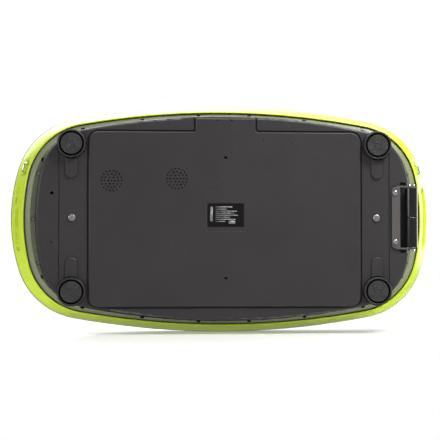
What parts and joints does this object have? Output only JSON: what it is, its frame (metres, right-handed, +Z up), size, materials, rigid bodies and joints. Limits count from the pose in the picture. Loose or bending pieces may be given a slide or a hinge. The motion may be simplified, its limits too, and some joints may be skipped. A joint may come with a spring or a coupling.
{
  "type": "whole-body vibration plate",
  "caption": "Low fitness platform whose lime-skirted deck rocks on a centre pivot over a black base tub with feet and transport rollers.",
  "frame": {"origin": "on the floor, under the centre of the plate", "axes": "+Z up, +X along the length towards the transport rollers, -Y towards the display and the power inlet"},
  "size_m": [0.7698, 0.413, 0.1355],
  "materials": {
    "tub_black": "fine moulded texture",
    "cover_black": "satin",
    "lime_gloss": "high gloss",
    "ring_olive": "satin",
    "clip_black": "matte",
    "foot_black": "matte",
    "pad_rubber": "textured rubber",
    "mat_rubber": "textured rubber",
    "bracket_steel": "black paint, satin",
    "roller_black": "gloss",
    "chrome": "polished",
    "zinc": "zinc plated",
    "frame_steel": "black powder coat",
    "bare_steel": "machined",
    "bronze": "sintered",
    "motor_metal": "die cast",
    "pulley_metal": "turned",
    "belt_rubber": "ribbed",
    "board_green": "solder mask",
    "part_dark": "matte",
    "window_glass": "piano gloss, smoked",
    "plate_black": "printed foil",
    "switch_red": "gloss, lit from inside when on",
    "cone_paper": "pressed paper"
  },
  "bodies": {
    "base": {"base_tray": "tub_black", "rating_plate": "plate_black", "foot_cups": "foot_black", "foot_pads": "pad_rubber", "foot_screws": "zinc", "base_rails": "frame_steel", "base_crossbars": "frame_steel", "drive_plate": "frame_steel", "tray_screws": "zinc", "sunk_screws": "part_dark", "pivot_blocks": "frame_steel", "pivot_bushes": "bronze", "motor_housing": "motor_metal", "motor_end_cap": "motor_metal", "motor_stator": "bare_steel", "motor_saddle": "motor_metal", "motor_bolts": "zinc", "drive_belt": "belt_rubber", "crank_blocks": "motor_metal", "crank_bearings": "bare_steel", "speaker_basket": "part_dark", "speaker_cone": "cone_paper", "control_board": "board_green", "board_parts": "part_dark", "power_inlet": "part_dark", "inlet_pins": "bare_steel", "switch_housing": "part_dark", "switch_pin": "bare_steel", "roller_bracket": "bracket_steel", "roller_axle": "chrome", "bracket_screws": "chrome"},
    "deck": {"side_skirt": "lime_gloss", "under_ring": "ring_olive", "ring_clips": "clip_black", "ring_screws": "bare_steel", "band_loops": "chrome", "deck_rails": "frame_steel", "deck_crossbars": "frame_steel", "deck_drive_bar": "frame_steel", "pivot_ears": "frame_steel", "pivot_pins": "bare_steel", "rod_clevis": "frame_steel", "rod_pin": "bare_steel", "top_cover": "cover_black", "mat_left": "mat_rubber", "mat_right": "mat_rubber", "centre_mat": "mat_rubber", "display_window": "window_glass", "display_board": "board_green"},
    "motor": {"motor_rotor": "bare_steel", "motor_shaft": "bare_steel", "motor_pulley": "pulley_metal"},
    "crank": {"crank_shaft": "bare_steel", "eccentric": "bare_steel", "crank_pulley": "pulley_metal"},
    "rod": {"connecting_rod": "motor_metal"},
    "roller_front": {"roller_front": "roller_black"},
    "roller_rear": {"roller_rear": "roller_black"},
    "rocker": {"switch_rocker": "switch_red"}
  },
  "joints": [
    {"name": "deck_rock", "type": "hinge", "parent": "base", "child": "deck", "pos_m": [0, 0, 0.074], "axis": [0, 1, 0], "range_deg": [-1.2, 1.2]},
    {"name": "motor_spin", "type": "hinge", "parent": "base", "child": "motor", "pos_m": [-0.085, 0, 0.058], "axis": [0, 1, 0], "continuous": true},
    {"name": "crank_spin", "type": "hinge", "parent": "base", "child": "crank", "pos_m": [0.09, 0, 0.058], "axis": [0, 1, 0], "continuous": true},
    {"name": "rod_swing", "type": "hinge", "parent": "deck", "child": "rod", "pos_m": [0.09, 0, 0.104], "axis": [0, 1, 0], "range_deg": [-2.4, 2.4]},
    {"name": "roller_front_spin", "type": "hinge", "parent": "base", "child": "roller_front", "pos_m": [0.3363, -0.0282, 0.017], "axis": [0, 1, 0], "continuous": true},
    {"name": "roller_rear_spin", "type": "hinge", "parent": "base", "child": "roller_rear", "pos_m": [0.3363, 0.0258, 0.017], "axis": [0, 1, 0], "continuous": true},
    {"name": "switch_rock", "type": "hinge", "parent": "base", "child": "rocker", "pos_m": [-0.016, -0.177, 0.032], "axis": [0, 0, 1], "range_deg": [-18, 0]}
  ],
  "couplings": [
    {"joint": "crank_spin", "follows": "motor_spin", "ratio": 0.4}
  ]
}
